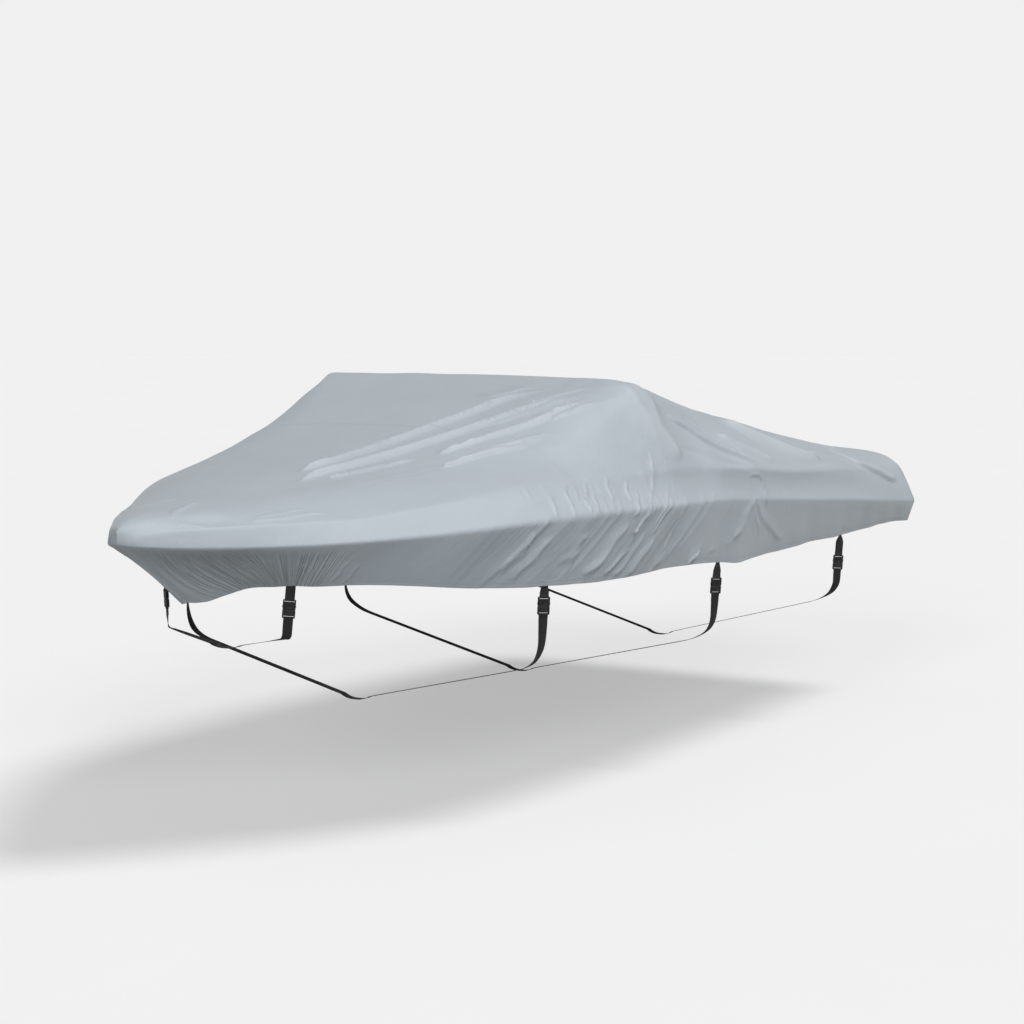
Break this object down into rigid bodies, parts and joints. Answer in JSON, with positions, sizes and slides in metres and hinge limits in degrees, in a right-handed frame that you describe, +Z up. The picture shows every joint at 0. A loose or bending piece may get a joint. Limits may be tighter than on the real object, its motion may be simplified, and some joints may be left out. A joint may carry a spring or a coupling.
{
  "type": "boat cover",
  "caption": "Fitted cloth cover for an open runabout, tented over the windscreen, gathered round the bow, with belly straps on side-release buckles.",
  "frame": {"origin": "on the centreline, at the underside of the cloth where the top frame of the windscreen holds it up, its highest support", "axes": "+X from the bow towards the stern, +Y to starboard, +Z up"},
  "size_m": [5.282, 2.1755, 1.407],
  "materials": {
    "cover_fabric": "coated plain-weave polyester, mid grey, soft sheen, creased",
    "webbing": "black woven polyester webbing, matt with a faint sheen",
    "buckle_plastic": "black moulded plastic, fine satin grain"
  },
  "bodies": {
    "root": {"cover_cloth": "cover_fabric", "tab_bow_port": "webbing", "socket_bow_port": "buckle_plastic", "plug_bow_port": "buckle_plastic", "tab_bow_starboard": "webbing", "socket_bow_starboard": "buckle_plastic", "plug_bow_starboard": "buckle_plastic", "strap_bow": "webbing", "tab_fore_port": "webbing", "socket_fore_port": "buckle_plastic", "plug_fore_port": "buckle_plastic", "tab_fore_starboard": "webbing", "socket_fore_starboard": "buckle_plastic", "plug_fore_starboard": "buckle_plastic", "strap_fore": "webbing", "tab_mid_port": "webbing", "socket_mid_port": "buckle_plastic", "plug_mid_port": "buckle_plastic", "tab_mid_starboard": "webbing", "socket_mid_starboard": "buckle_plastic", "plug_mid_starboard": "buckle_plastic", "strap_mid": "webbing", "tab_stern_port": "webbing", "socket_stern_port": "buckle_plastic", "plug_stern_port": "buckle_plastic", "tab_stern_starboard": "webbing", "socket_stern_starboard": "buckle_plastic", "plug_stern_starboard": "buckle_plastic", "strap_stern": "webbing"}
  },
  "joints": []
}
